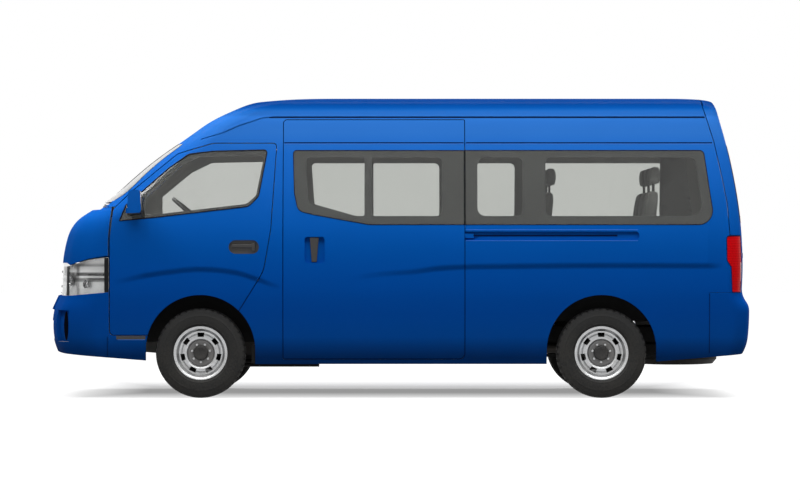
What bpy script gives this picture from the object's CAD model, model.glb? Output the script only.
import math

import bpy
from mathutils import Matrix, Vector
from mathutils.bvhtree import BVHTree


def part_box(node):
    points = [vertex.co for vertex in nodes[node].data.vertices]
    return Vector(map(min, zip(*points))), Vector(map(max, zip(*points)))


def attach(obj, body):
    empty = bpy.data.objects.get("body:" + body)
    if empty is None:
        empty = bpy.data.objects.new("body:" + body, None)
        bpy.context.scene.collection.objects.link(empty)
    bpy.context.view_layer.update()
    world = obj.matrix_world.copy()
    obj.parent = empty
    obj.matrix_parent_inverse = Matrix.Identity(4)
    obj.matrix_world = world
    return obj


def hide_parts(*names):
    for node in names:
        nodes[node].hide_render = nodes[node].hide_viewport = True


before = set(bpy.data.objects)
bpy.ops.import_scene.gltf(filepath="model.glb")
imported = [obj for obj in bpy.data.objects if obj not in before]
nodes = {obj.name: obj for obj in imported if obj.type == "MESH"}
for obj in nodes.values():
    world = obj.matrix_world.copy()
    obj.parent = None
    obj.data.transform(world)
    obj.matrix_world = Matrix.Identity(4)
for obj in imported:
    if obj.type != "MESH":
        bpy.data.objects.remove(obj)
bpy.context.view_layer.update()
bpy.ops.object.select_all(action="DESELECT")

# ---- camera ----
# A long lens that stands square to the left side and level, just below the waist line, so that
# the side is seen almost without perspective.
bpy.ops.object.camera_add(location=(-0.0076, -26.0, 1.086), rotation=(math.pi / 2, 0, 0))
camera = bpy.context.object
camera.name = "side_camera"
camera.data.lens = 154.1
camera.data.sensor_width = 36
camera.data.clip_end = 200
bpy.context.scene.camera = camera


# ---- painted steel body ----
# Pressed steel panels, primed, sprayed blue and clear coated in one go with the doors hung.
# The inside faces carry grey trim, the glass seats are blacked out, and gaps stay open.
def new_material(name, colour, roughness, metallic=0.0, specular=0.5):
    material = bpy.data.materials.new(name)
    material.use_nodes = True
    shader = material.node_tree.nodes["Principled BSDF"]
    for label, value in (("Base Color", (*colour, 1)), ("Roughness", roughness), ("Metallic", metallic),
                         ("Specular IOR Level", specular)):
        shader.inputs[label].default_value = value
    material.diffuse_color = (*colour, 1)
    return material, shader, material.node_tree


def new_group(name, inputs, outputs):
    """A node group; each socket is given as name, type and value."""
    group = bpy.data.node_groups.new(name, "ShaderNodeTree")
    for label, kind, value in inputs:
        socket = group.interface.new_socket(name=label, in_out="INPUT", socket_type=kind)
        socket.default_value = value
    for label, kind in outputs:
        group.interface.new_socket(name=label, in_out="OUTPUT", socket_type=kind)
    source = group.nodes.new("NodeGroupInput")
    sink = group.nodes.new("NodeGroupOutput")
    return group, source, sink


def noise_at(tree, coords, scale, detail=3.0, roughness=0.5):
    noise = tree.nodes.new("ShaderNodeTexNoise")
    noise.inputs["Scale"].default_value = scale
    noise.inputs["Detail"].default_value = detail
    noise.inputs["Roughness"].default_value = roughness
    tree.links.new(coords, noise.inputs["Vector"])
    return noise.outputs["Fac"]


def object_coords(tree):
    return tree.nodes.new("ShaderNodeTexCoord").outputs["Object"]


def feed(tree, socket, value):
    """Links a socket to another one, or gives it a number, or a colour as three numbers."""
    if hasattr(value, "is_output"):
        tree.links.new(value, socket)
    elif isinstance(value, tuple):
        socket.default_value = (*value, 1)
    else:
        socket.default_value = value


def math_node(tree, operation, first, second, clamp=False):
    node = tree.nodes.new("ShaderNodeMath")
    node.operation = operation
    node.use_clamp = clamp
    for socket, value in zip(node.inputs, (first, second)):
        feed(tree, socket, value)
    return node.outputs[0]


def spread(tree, value, low, high, new_low=0.0, new_high=1.0, clamp=True):
    node = tree.nodes.new("ShaderNodeMapRange")
    node.clamp = clamp
    for label, number in (("From Min", low), ("From Max", high), ("To Min", new_low), ("To Max", new_high)):
        node.inputs[label].default_value = number
    tree.links.new(value, node.inputs["Value"])
    return node.outputs["Result"]


def colour_mix(tree, factor, first, second):
    node = tree.nodes.new("ShaderNodeMix")
    node.data_type = "RGBA"
    for socket, value in ((node.inputs[0], factor), (node.inputs[6], first), (node.inputs[7], second)):
        feed(tree, socket, value)
    return node.outputs[2]


def axes_of(tree, coords=None):
    """The X, Y and Z of a place on the piece, as sockets."""
    split = tree.nodes.new("ShaderNodeSeparateXYZ")
    tree.links.new(object_coords(tree) if coords is None else coords, split.inputs[0])
    return split.outputs


def bumped(tree, shader, height, distance):
    """Raises the surface by a height of nought to one times a distance in metres."""
    bump = tree.nodes.new("ShaderNodeBump")
    bump.inputs["Distance"].default_value = distance
    tree.links.new(height, bump.inputs["Height"])
    tree.links.new(bump.outputs["Normal"], shader.inputs["Normal"])


def banded(tree, value, low, high, stops, interpolation="LINEAR"):
    """Colours laid over a span of metres; each stop gives its place and its colour."""
    bands = tree.nodes.new("ShaderNodeValToRGB")
    bands.color_ramp.interpolation = interpolation
    marks = bands.color_ramp.elements
    for mark, (place, colour) in zip(marks, (stops[0], stops[-1])):
        mark.position = (place - low) / (high - low)
        mark.color = (*colour, 1)
    for place, colour in stops[1:-1]:
        marks.new((place - low) / (high - low)).color = (*colour, 1)
    tree.links.new(spread(tree, value, low, high), bands.inputs["Fac"])
    return bands.outputs["Color"]


# Road film: thin dust that gathers low on the body and roughens whatever it lies on.
road_film, film_in, film_out = new_group(
    "road_film",
    (("Color", "NodeSocketColor", (1, 1, 1, 1)), ("Dust", "NodeSocketColor", (0.2, 0.18, 0.15, 1)),
     ("Amount", "NodeSocketFloat", 0.2), ("Roughness", "NodeSocketFloat", 0.3)),
    (("Color", "NodeSocketColor"), ("Roughness", "NodeSocketFloat")))
film_coords = object_coords(road_film)
low_down = spread(road_film, axes_of(road_film, film_coords)["Z"], 0.75, 0.18)
patches = spread(road_film, noise_at(road_film, film_coords, 5.0, 5.0), 0.3, 0.75)
speckle = spread(road_film, noise_at(road_film, film_coords, 90.0, 2.0), 0.35, 0.8)
film_mask = math_node(road_film, "MULTIPLY", low_down, math_node(road_film, "ADD", patches, speckle), True)
film_mask = math_node(road_film, "MULTIPLY", film_mask, film_in.outputs["Amount"])
road_film.links.new(colour_mix(road_film, film_mask, film_in.outputs["Color"], film_in.outputs["Dust"]),
                    film_out.inputs["Color"])
road_film.links.new(math_node(road_film, "ADD", film_in.outputs["Roughness"],
                              math_node(road_film, "MULTIPLY", film_mask, 0.5)), film_out.inputs["Roughness"])

# Fine grain: the bump of moulded plastic, cast iron or textured lining.
fine_grain, grain_in, grain_out = new_group(
    "fine_grain",
    (("Scale", "NodeSocketFloat", 300.0), ("Height", "NodeSocketFloat", 0.2)),
    (("Normal", "NodeSocketVector"), ("Mask", "NodeSocketFloat")))
grain_noise = fine_grain.nodes.new("ShaderNodeTexNoise")
grain_noise.inputs["Detail"].default_value = 2.0
fine_grain.links.new(object_coords(fine_grain), grain_noise.inputs["Vector"])
fine_grain.links.new(grain_in.outputs["Scale"], grain_noise.inputs["Scale"])
grain_bump = fine_grain.nodes.new("ShaderNodeBump")
grain_bump.inputs["Distance"].default_value = 0.001
fine_grain.links.new(grain_in.outputs["Height"], grain_bump.inputs["Strength"])
fine_grain.links.new(grain_noise.outputs["Fac"], grain_bump.inputs["Height"])
fine_grain.links.new(grain_bump.outputs["Normal"], grain_out.inputs["Normal"])
fine_grain.links.new(grain_noise.outputs["Fac"], grain_out.inputs["Mask"])


def placed(tree, group, **values):
    """Puts a node group into a finish with its own values."""
    node = tree.nodes.new("ShaderNodeGroup")
    node.node_tree = group
    for label, value in values.items():
        feed(tree, node.inputs[label], value)
    return node.outputs


def filmed(tree, shader, colour, roughness, amount, dust=(0.2, 0.18, 0.15)):
    film = placed(tree, road_film, Color=colour, Dust=dust, Amount=amount, Roughness=roughness)
    tree.links.new(film["Color"], shader.inputs["Base Color"])
    tree.links.new(film["Roughness"], shader.inputs["Roughness"])


def grained(tree, shader, scale, height):
    grain = placed(tree, fine_grain, Scale=scale, Height=height)
    tree.links.new(grain["Normal"], shader.inputs["Normal"])
    return grain["Mask"]


def weathered(name, colour, roughness, film, grain, metallic=0.0, specular=0.5):
    """A grained finish under road film; film and grain give the values of their groups."""
    material, shader, tree = new_material(name, colour, roughness, metallic, specular)
    filmed(tree, shader, *film)
    grained(tree, shader, *grain)
    return material


def lined(name, colour, roughness, grain, dark, light):
    """A moulded lining whose grain runs between two tones."""
    material, shader, tree = new_material(name, colour, roughness)
    mask = grained(tree, shader, *grain)
    tree.links.new(colour_mix(tree, mask, dark, light), shader.inputs["Base Color"])
    return material


paint, paint_shader, paint_tree = new_material("blue_paint", (0.003, 0.093, 0.42), 0.35, specular=0.0)
paint_shader.inputs["Coat Weight"].default_value = 0.012
paint_shader.inputs["Coat Roughness"].default_value = 0.08
paint_coords = object_coords(paint_tree)
paint_xyz = axes_of(paint_tree, paint_coords)
# The coats by height: deep at the sills, paler above the waist, and deep again over the roof.
COATS = ((0.30, (0.0003, 0.034, 0.165)), (0.45, (0.0005, 0.080, 0.400)), (0.62, (0.0005, 0.070, 0.375)),
         (0.90, (0.0008, 0.082, 0.420)), (1.10, (0.0012, 0.095, 0.450)), (1.30, (0.0035, 0.108, 0.485)),
         (1.80, (0.0110, 0.121, 0.490)), (1.95, (0.0240, 0.145, 0.500)), (2.065, (0.0235, 0.141, 0.490)),
         (2.085, (0.0150, 0.106, 0.378)), (2.105, (0.0120, 0.096, 0.356)), (2.118, (0.0070, 0.083, 0.320)),
         (2.133, (0.0015, 0.054, 0.252)), (2.163, (0.0006, 0.032, 0.165)), (2.18, (0.0010, 0.031, 0.155)))
coats = banded(paint_tree, paint_xyz["Z"], 0.2, 2.2, COATS)
paint_tone = spread(paint_tree, noise_at(paint_tree, paint_coords, 1.3, 2.0), 0.3, 0.7, 0.0, 0.08)
paint_colour = colour_mix(paint_tree, paint_tone, coats, (0.001, 0.06, 0.30))
filmed(paint_tree, paint_shader, paint_colour, 0.36, 0.012)
# The pressed shoulder line: its height along the side, and the shallow step that it makes.
LINE_BASE = 0.3
shoulder = paint_tree.nodes.new("ShaderNodeFloatCurve")
shoulder_points = (
    (0.0, 0.79), (0.085, 0.856), (0.122, 0.897), (0.16, 0.926), (0.206, 0.946), (0.253, 0.926),
    (0.283, 0.885), (0.323, 0.816), (0.345, 0.790), (0.40, 0.84), (0.46, 0.905), (0.52, 0.930),
    (0.56, 0.955), (0.66, 0.968), (1.0, 0.970))
shoulder_line = shoulder.mapping.curves[0]
for point, (place, height) in zip(shoulder_line.points, (shoulder_points[0], shoulder_points[-1])):
    point.location = (place, height - LINE_BASE)
for place, height in shoulder_points[1:-1]:
    shoulder_line.points.new(place, height - LINE_BASE)
shoulder.mapping.update()
paint_tree.links.new(spread(paint_tree, paint_xyz["X"], -2.5, 2.5), shoulder.inputs["Value"])
line_height = math_node(paint_tree, "ADD", shoulder.outputs[0], LINE_BASE)
above_line = math_node(paint_tree, "SUBTRACT", paint_xyz["Z"], line_height)
step = paint_tree.nodes.new("ShaderNodeMapRange")
step.interpolation_type = "SMOOTHERSTEP"
step.inputs["From Min"].default_value = -0.035
step.inputs["From Max"].default_value = 0.03
paint_tree.links.new(above_line, step.inputs["Value"])
fade_front = spread(paint_tree, paint_xyz["X"], -2.11, -1.85)
fade_gap = math_node(paint_tree, "MAXIMUM", spread(paint_tree, paint_xyz["X"], -0.86, -1.05),
                     spread(paint_tree, paint_xyz["X"], -0.40, 0.30))
fade_rear = spread(paint_tree, paint_xyz["X"], 2.36, 2.25)
side_only = spread(paint_tree, math_node(paint_tree, "ABSOLUTE", paint_xyz["Y"], 0.0), 0.84, 0.90)
step_height = step.outputs["Result"]
for fade in (fade_front, fade_gap, fade_rear, side_only):
    step_height = math_node(paint_tree, "MULTIPLY", step_height, fade)
peel = math_node(paint_tree, "MULTIPLY", noise_at(paint_tree, paint_coords, 160.0, 1.0), 0.006)
bumped(paint_tree, paint_shader, math_node(paint_tree, "ADD", step_height, peel), 0.012)

trim = lined("grey_cabin_trim", (0.36, 0.355, 0.335), 0.8, (420.0, 0.25),
             (0.33, 0.325, 0.305), (0.39, 0.385, 0.365))
border = lined("fired_black_border", (0.066, 0.068, 0.065), 0.55, (900.0, 0.05),
               (0.047, 0.0485, 0.047), (0.057, 0.0585, 0.056))
moulding = weathered("black_moulding", (0.022, 0.022, 0.023), 0.5, ((0.018, 0.018, 0.019), 0.48, 0.12),
                     (700.0, 0.3))
handle_grey = lined("handle_plastic", (0.060, 0.056, 0.052), 0.5, (600.0, 0.2),
                    (0.052, 0.048, 0.045), (0.070, 0.065, 0.060))

# The two ends of the middle line of the cabin, as X and Z, and how far a face has to point away
# from that line to be an outer or an inner one.
SPINE = ((-1.75, 0.95), (2.15, 1.55))
OUTER, INNER = 0.6, -0.35


def outward(centre):
    """Direction from the middle of the cabin to a point on its wall."""
    x = min(max(centre.x, SPINE[0][0]), SPINE[1][0])
    z = min(max(centre.z, SPINE[0][1]), SPINE[1][1])
    away = Vector((centre.x - x, centre.y, centre.z - z))
    return away.normalized() if away.length > 1e-6 else Vector((0, 0, 1))


def outer_face(centre, normal):
    return normal.dot(outward(centre)) > OUTER


def face_into(node, finishes, choose=lambda centre, normal: 0):
    """Gives a carried-over piece its finishes; choose names one by number for each face."""
    mesh = nodes[node].data
    mesh.materials.clear()
    for finish in finishes:
        mesh.materials.append(finish)
    for face in mesh.polygons:
        face.material_index = choose(face.center, face.normal)


def tree_of(node):
    mesh = nodes[node].data
    return BVHTree.FromPolygons([v.co for v in mesh.vertices], [tuple(f.vertices) for f in mesh.polygons])


GLASS = ("windscreen", "door_glass_left", "door_glass_right", "side_windows", "tailgate_glass")
glass_trees = [tree_of(name) for name in GLASS]
# How far out a pane can lie from the seat that it is bonded to, and from the edge of that seat.
SEAT_REACH, EDGE_REACH = 0.02, 0.07


def behind_glass(centre, normal, reach):
    way = outward(centre)
    start = centre + normal * 0.0006 + way * 0.0004
    return any(tree.ray_cast(start, way, reach)[0] is not None for tree in glass_trees)


def body_face(centre, normal):
    """Paint 0 outside, trim 1 inside, black border 2 under the glass."""
    facing = normal.dot(outward(centre))
    if facing < INNER:
        return 1
    if facing > OUTER:
        return 2 if behind_glass(centre, normal, SEAT_REACH) else 0
    return 2 if behind_glass(centre, normal, EDGE_REACH) else 0


for name in ("side_left", "side_right", "roof", "tailgate", "cowl", "front_lid", "rear_bumper",
             "sliding_door", "cab_front"):
    face_into(name, (paint, trim, border), body_face)


def inside(material):
    """The nodes of a finish, and the main one of them."""
    return material.node_tree, material.node_tree.nodes["Principled BSDF"]


# The front bumper is sprayed with it too, and the round slot at each corner is blacked out.
slotted = paint.copy()
slotted.name = "slotted_bumper_paint"
slot_tree, slot_shader = inside(slotted)
slot_xyz = axes_of(slot_tree)
slot_ends = (("X", -2.485, -2.446), ("Z", 0.415, 0.640))
slot_reaches = [
    math_node(slot_tree, "POWER", spread(slot_tree, slot_xyz[axis], low, high, -1.0, 1.0, False), 2.0)
    for axis, low, high in slot_ends]
slot_mask = spread(slot_tree, math_node(slot_tree, "ADD", *slot_reaches), 1.0, 0.85)
slot_paint = slot_shader.inputs["Base Color"].links[0].from_socket
slot_tree.links.new(colour_mix(slot_tree, slot_mask, slot_paint, (0.002, 0.003, 0.008)),
                    slot_shader.inputs["Base Color"])
face_into("front_bumper", (slotted, trim, border), body_face)

RECESS_FLOOR, DOOR_SKIN = 0.897, 0.929


def door_face(centre, normal):
    """As body_face, with handle plastic 3 on the floor of the pressed grip recess."""
    in_recess = -1.263 < centre.x < -1.039 and 1.057 < centre.z < 1.159
    if in_recess and abs(centre.y) > RECESS_FLOOR and normal.dot(outward(centre)) > INNER:
        return 3 if abs(centre.y) < DOOR_SKIN else 0
    return body_face(centre, normal)


for side in ("left", "right"):
    face_into("door_" + side, (paint, trim, border, handle_grey), door_face)

# ---- floor pan and cabin lining ----
# Ribbed rubber matting glued over a pressed steel floor; the underside is sprayed with black
# wax, like the frame, the tank and the springs below it.
tone_drift, drift_in, drift_out = new_group(
    "tone_drift",
    (("Scale", "NodeSocketFloat", 40.0), ("Dark", "NodeSocketColor", (0, 0, 0, 1)),
     ("Light", "NodeSocketColor", (1, 1, 1, 1))),
    (("Color", "NodeSocketColor"),))
drift_noise = noise_at(tone_drift, object_coords(tone_drift), 40.0)
tone_drift.links.new(drift_in.outputs["Scale"], drift_noise.node.inputs["Scale"])
tone_drift.links.new(colour_mix(tone_drift, drift_noise, drift_in.outputs["Dark"], drift_in.outputs["Light"]),
                     drift_out.inputs["Color"])


def toned(name, colour, roughness, scale, dark, light, metallic=0.0, specular=0.5):
    """A finish whose tone drifts between two colours, in patches of a given scale."""
    material, shader, tree = new_material(name, colour, roughness, metallic, specular)
    drift = placed(tree, tone_drift, Scale=scale, Dark=dark, Light=light)
    tree.links.new(drift["Color"], shader.inputs["Base Color"])
    return material


rubber_floor = toned("rubber_floor", (0.06, 0.06, 0.062), 0.85, 30.0, (0.05, 0.05, 0.052), (0.08, 0.08, 0.08))
rubber_tree, rubber_shader = inside(rubber_floor)
ribs_across = math_node(rubber_tree, "MULTIPLY", axes_of(rubber_tree)["Y"], 420.0)
bumped(rubber_tree, rubber_shader, math_node(rubber_tree, "SINE", ribs_across, 0.0), 0.002)
underseal = weathered("black_underseal", (0.005, 0.005, 0.005), 0.7, ((0.005, 0.005, 0.005), 0.7, 0.015),
                      (160.0, 0.5), specular=0.2)
for name in ("floor_pan", "seat_box"):
    face_into(name, (rubber_floor, underseal), lambda c, n: 0 if n.z > 0.3 and c.z > 0.5 else 1)
for name in ("chassis_frame", "fuel_tank", "front_suspension", "leaf_springs"):
    face_into(name, (underseal,))

# ---- driveline ----
# Cast iron axle, knuckles and engine block, bolted to the springs and the frame, and a welded
# steel exhaust that has browned with heat.
iron = weathered("cast_iron", (0.06, 0.055, 0.05), 0.6, ((0.04, 0.038, 0.036), 0.6, 0.2, (0.08, 0.06, 0.045)),
                 (260.0, 0.6), 0.7)
steel, steel_shader, steel_tree = new_material("browned_exhaust_steel", (0.28, 0.25, 0.22), 0.45, 0.9)
steel_tone = spread(steel_tree, noise_at(steel_tree, object_coords(steel_tree), 9.0, 6.0), 0.35, 0.65)
steel_colour = colour_mix(steel_tree, steel_tone, (0.30, 0.28, 0.26), (0.17, 0.11, 0.07))
filmed(steel_tree, steel_shader, steel_colour, 0.4, 0.25)
for name in ("knuckle_left", "knuckle_right", "rear_axle", "engine", "propeller_shaft"):
    face_into(name, (iron,))
face_into("exhaust", (steel,))

# ---- glass ----
# Toughened and bent panes, bonded to the body: grey privacy glass in the sides and the tail, a
# paler tint in the windscreen and the front doors.
def tinted_glass(name, colour):
    material, shader, tree = new_material(name, colour, 0.0)
    shader.inputs["Transmission Weight"].default_value = 1.0
    shader.inputs["IOR"].default_value = 1.45
    tint = spread(tree, noise_at(tree, object_coords(tree), 0.9, 1.0), 0.3, 0.7, 0.0, 1.0)
    second = tuple(0.96 * value for value in colour)
    tree.links.new(colour_mix(tree, tint, colour, second), shader.inputs["Base Color"])
    return material


side_glass = tinted_glass("grey_side_glass", (0.70, 0.712, 0.69))
cab_glass = tinted_glass("pale_cab_glass", (0.72, 0.73, 0.71))
for name, glass in (("side_windows", side_glass), ("tailgate_glass", side_glass), ("windscreen", cab_glass),
                    ("door_glass_left", cab_glass), ("door_glass_right", cab_glass)):
    face_into(name, (glass,))


# ---- window seals ----
# Extruded black rubber beads, cut to length, joined at the corners and pressed into the gap
# round each pane.
def copied(pattern):
    """One more of a pattern, with a mesh of its own."""
    copy = pattern.copy()
    copy.data = pattern.data.copy()
    bpy.context.scene.collection.objects.link(copy)
    return copy


def select_only(pieces):
    """Selects some pieces and nothing else, with the first one active."""
    bpy.ops.object.select_all(action="DESELECT")
    for piece in pieces:
        piece.select_set(True)
    bpy.context.view_layer.objects.active = pieces[0]


def fix_place(pieces):
    """Puts the place, turn and size of some pieces into their meshes."""
    select_only(pieces)
    bpy.ops.object.transform_apply(location=True, rotation=True, scale=True)


def copy_of(node, keep):
    """A merged copy of a carried-over piece, cut down to the faces that keep allows."""
    piece = copied(nodes[node])
    for key in list(piece.keys()):
        del piece[key]
    piece.parent = None
    piece.hide_viewport = False
    piece.hide_render = False
    piece.hide_set(False)
    edit(piece)
    bpy.ops.mesh.select_all(action="SELECT")
    bpy.ops.mesh.remove_doubles(threshold=0.00002)
    choose_faces(piece, lambda c, n: not keep(c, n))
    bpy.ops.mesh.delete(type="FACE")
    return piece


def edit(piece):
    """Opens one piece alone in edit mode."""
    if bpy.context.object and bpy.context.object.mode != "OBJECT":
        bpy.ops.object.mode_set(mode="OBJECT")
    select_only([piece])
    bpy.ops.object.mode_set(mode="EDIT")


def choose_faces(piece, wanted):
    """Selects the faces of the open piece by their place or normal."""
    bpy.ops.mesh.select_mode(type="FACE")
    bpy.ops.mesh.select_all(action="DESELECT")
    bpy.ops.object.mode_set(mode="OBJECT")
    for face in piece.data.polygons:
        face.select = bool(wanted(face.center, face.normal))
    bpy.ops.object.mode_set(mode="EDIT")


def drop_points(piece, wanted):
    """Deletes the points of a piece that wanted picks by their place, and leaves it open."""
    edit(piece)
    bpy.ops.mesh.select_mode(type="VERT")
    bpy.ops.mesh.select_all(action="DESELECT")
    close_edit()
    for vertex in piece.data.vertices:
        vertex.select = wanted(vertex.co)
    edit(piece)
    bpy.ops.mesh.delete(type="VERT")


def close_edit():
    if bpy.context.object.mode != "OBJECT":
        bpy.ops.object.mode_set(mode="OBJECT")


def add_modifier(piece, kind, **settings):
    """Adds one modifier to a piece, sets it and applies it."""
    select_only([piece])
    modifier = piece.modifiers.new(kind.lower(), kind)
    for label, value in settings.items():
        setattr(modifier, label, value)
    bpy.ops.object.modifier_apply(modifier=modifier.name)


def settle(piece, name, body, slot, *finishes):
    """Names a finished piece, fixes its place into its mesh, and gives it its finish and body."""
    close_edit()
    fix_place([piece])
    piece.name = name
    piece.data.name = name
    if finishes:
        piece.data.materials.clear()
        for finish in finishes:
            piece.data.materials.append(finish)
    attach(piece, body)
    return piece


seal_rubber = toned("seal_rubber", (0.004, 0.004, 0.005), 0.7, 60.0,
                    (0.003, 0.003, 0.004), (0.007, 0.007, 0.008), specular=0.15)


def seal_round(node, body, radius, finish=seal_rubber, drop=None, inset=0.0):
    """A bead along the outer edges of a piece; drop leaves out some of its points."""
    piece = copy_of(node, outer_face)
    bpy.ops.mesh.select_mode(type="EDGE")
    bpy.ops.mesh.select_all(action="DESELECT")
    bpy.ops.mesh.select_non_manifold(extend=False)
    bpy.ops.mesh.select_all(action="INVERT")
    bpy.ops.mesh.delete(type="EDGE_FACE")
    bpy.ops.mesh.select_all(action="SELECT")
    bpy.ops.mesh.delete_loose(use_verts=True, use_edges=False, use_faces=False)
    if drop:
        drop_points(piece, drop)
        bpy.ops.mesh.select_all(action="SELECT")
        bpy.ops.transform.translate(value=(0, inset, 0))
    close_edit()
    bpy.ops.object.convert(target="CURVE")
    piece = bpy.context.object
    piece.data.dimensions = "3D"
    piece.data.bevel_depth = radius
    piece.data.bevel_resolution = 1
    bpy.ops.object.convert(target="MESH")
    piece = bpy.context.object
    edit(piece)
    bpy.ops.mesh.select_all(action="SELECT")
    bpy.ops.mesh.normals_make_consistent(inside=False)
    close_edit()
    bpy.ops.object.shade_smooth()
    return settle(piece, node + "_seal", body, "black_plastic", finish)


for node, body in (("side_windows", "body"), ("windscreen", "body"), ("tailgate_glass", "tailgate"),
                   ("door_glass_left", "front_door_left"), ("door_glass_right", "front_door_right")):
    seal_round(node, body, 0.0045 if node.startswith("door") else 0.0032)

# The sliding door closes on a bulb of dark rubber that fills the gap round it.
joint_blue = toned("joint_sealer_blue", (0.000, 0.010, 0.050), 0.7, 40.0,
                   (0.000, 0.008, 0.042), (0.001, 0.013, 0.062), specular=0.05)
seal_round("sliding_door", "body", 0.0062, joint_blue,
           lambda p: -0.83 < p.x < 0.43 and 0.32 < p.z < 2.01, 0.011)

# ---- gutter and seam strips ----
# A pressed drip gutter along the roof seam with sealant under it, and the narrow joint
# below it that runs along the sliding door and the body side. One side is drawn, then mirrored.
SHEET_Y, CUT_STEP = -1.2, 0.05


def drawn_strip(points, tall):
    """A strip on edge, extruded point by point along the side view, clear of the left wall."""
    (first_x, first_z), rest = points[0], points[1:]
    bpy.ops.mesh.primitive_plane_add(size=tall, location=(first_x - tall / 2, SHEET_Y, first_z),
                                     rotation=(math.pi / 2, 0, 0))
    strip = bpy.context.object
    fix_place([strip])
    drop_points(strip, lambda p: p.x < first_x - tall / 4)
    bpy.ops.mesh.select_all(action="SELECT")
    place = (first_x, first_z)
    for x, z in rest:
        cuts = max(1, round(math.hypot(x - place[0], z - place[1]) / CUT_STEP))
        for _ in range(cuts):
            bpy.ops.mesh.extrude_region_move(
                TRANSFORM_OT_translate={"value": ((x - place[0]) / cuts, 0, (z - place[1]) / cuts)})
        place = (x, z)
    bpy.ops.mesh.select_all(action="SELECT")
    bpy.ops.mesh.normals_make_consistent(inside=False)
    close_edit()
    if sum(face.normal.y for face in strip.data.polygons) > 0:
        edit(strip)
        bpy.ops.mesh.flip_normals()
        close_edit()
    return strip


def joined_as_one(pieces):
    close_edit()
    select_only(pieces)
    bpy.ops.object.join()
    return bpy.context.object


near_wall = joined_as_one([
    copy_of(name, lambda c, n: c.y < -0.2) for name in
    ("side_left", "roof", "cab_front", "sliding_door", "door_left", "front_bumper", "rear_bumper")])


def lay_on(strip, proud, sink=0.002, round_off=0.0):
    """Presses a flat piece along Y onto the left wall, drops what missed it, and thickens the rest."""
    add_modifier(strip, "SHRINKWRAP", target=near_wall, wrap_method="PROJECT", use_project_y=True,
                 use_positive_direction=True, use_negative_direction=False, project_limit=0.75, offset=-sink)
    drop_points(strip, lambda p: p.y < -1.0)
    close_edit()
    add_modifier(strip, "SOLIDIFY", thickness=proud + sink, offset=1.0)
    if round_off:
        add_modifier(strip, "BEVEL", width=round_off, segments=2, limit_method="ANGLE")
    return strip


def mirror_over(piece):
    """Adds the same shape on the right side, in the same piece."""
    add_modifier(piece, "MIRROR", use_axis=(False, True, False), use_mirror_merge=False)


gutter_path = ((2.230, 2.074), (1.0, 2.074), (0.0, 2.074), (-0.94, 2.074), (-1.02, 2.065), (-1.19, 2.010),
               (-1.32, 1.952), (-1.47, 1.906))
gutter = lay_on(drawn_strip(gutter_path, 0.016), 0.006, 0.002, 0.0025)
mirror_over(gutter)
settle(gutter, "roof_gutter", "body", "paint", paint)
sealant_path = ((2.236, 2.0615), (1.0, 2.0615), (0.0, 2.0615), (-0.97, 2.0615))
edge_blue = toned("pressed_edge_blue", (0.010, 0.150, 0.62), 0.4, 40.0,
                  (0.008, 0.14, 0.58), (0.012, 0.16, 0.66))
sealant = lay_on(drawn_strip(sealant_path, 0.009), 0.0012)
mirror_over(sealant)
settle(sealant, "gutter_sealant", "body", "black_plastic", joint_blue)
for label, height, tall, finish, slot in (("joint", 1.8730, 0.0095, joint_blue, "black_plastic"),
                                          ("edge", 1.8655, 0.0050, edge_blue, "paint")):
    for place, front_x, rear_x in (("door", -0.858, 0.461), ("side", 0.476, 2.286)):
        joint = lay_on(drawn_strip(((front_x, height), (rear_x, height)), tall), 0.0012)
        mirror_over(joint)
        settle(joint, place + "_waist_" + label, "body", slot, finish)

# ---- bumper joints ----
# The upright joints where the two bumpers meet the body: a gap left for fitting, closed with
# the same blue sealer as the roof seam.
for label, x, low_z, high_z in (("front", -2.1515, 0.292, 0.452), ("rear", 2.2585, 0.330, 0.768)):
    bpy.ops.mesh.primitive_grid_add(x_subdivisions=1, y_subdivisions=14, size=1, rotation=(math.pi / 2, 0, 0),
                                    location=(x, SHEET_Y, (low_z + high_z) / 2))
    joint = bpy.context.object
    joint.scale = (0.0042, high_z - low_z, 1)
    fix_place([joint])
    joint = lay_on(joint, 0.0010)
    mirror_over(joint)
    settle(joint, label + "_bumper_joint", "body", "black_plastic", joint_blue)

# ---- sliding door rail insert ----
# A dark pressed channel that lies along the floor of the rail in the left rear quarter, with
# the folded lip of the panel above it and below it.
insert = lay_on(drawn_strip(((0.53, 1.192), (1.585, 1.192)), 0.010), 0.002, 0.001, 0.0006)
settle(insert, "slide_rail_channel", "body", "black_plastic", joint_blue)
for label, height in (("upper", 1.2340), ("lower", 1.1538)):
    lip = lay_on(drawn_strip(((0.476, height), (1.735, height)), 0.0045), 0.0012, 0.001, 0.0004)
    settle(lip, "slide_rail_lip_" + label, "body", "paint", edge_blue)


# ---- door handles ----
# Grained black grips in the pressed recesses: a pull bar on each front door, and an upright
# tapered lever on the sliding door.
def rounded_block(centre, sizes, width, segments=3):
    """A block at its size and place with its edges rounded."""
    bpy.ops.mesh.primitive_cube_add(size=1, location=centre)
    piece = bpy.context.object
    piece.scale = sizes
    fix_place([piece])
    if width:
        add_modifier(piece, "BEVEL", width=width, segments=segments, limit_method="NONE")
    bpy.ops.object.shade_smooth_by_angle(angle=math.radians(40))
    return piece


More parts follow.
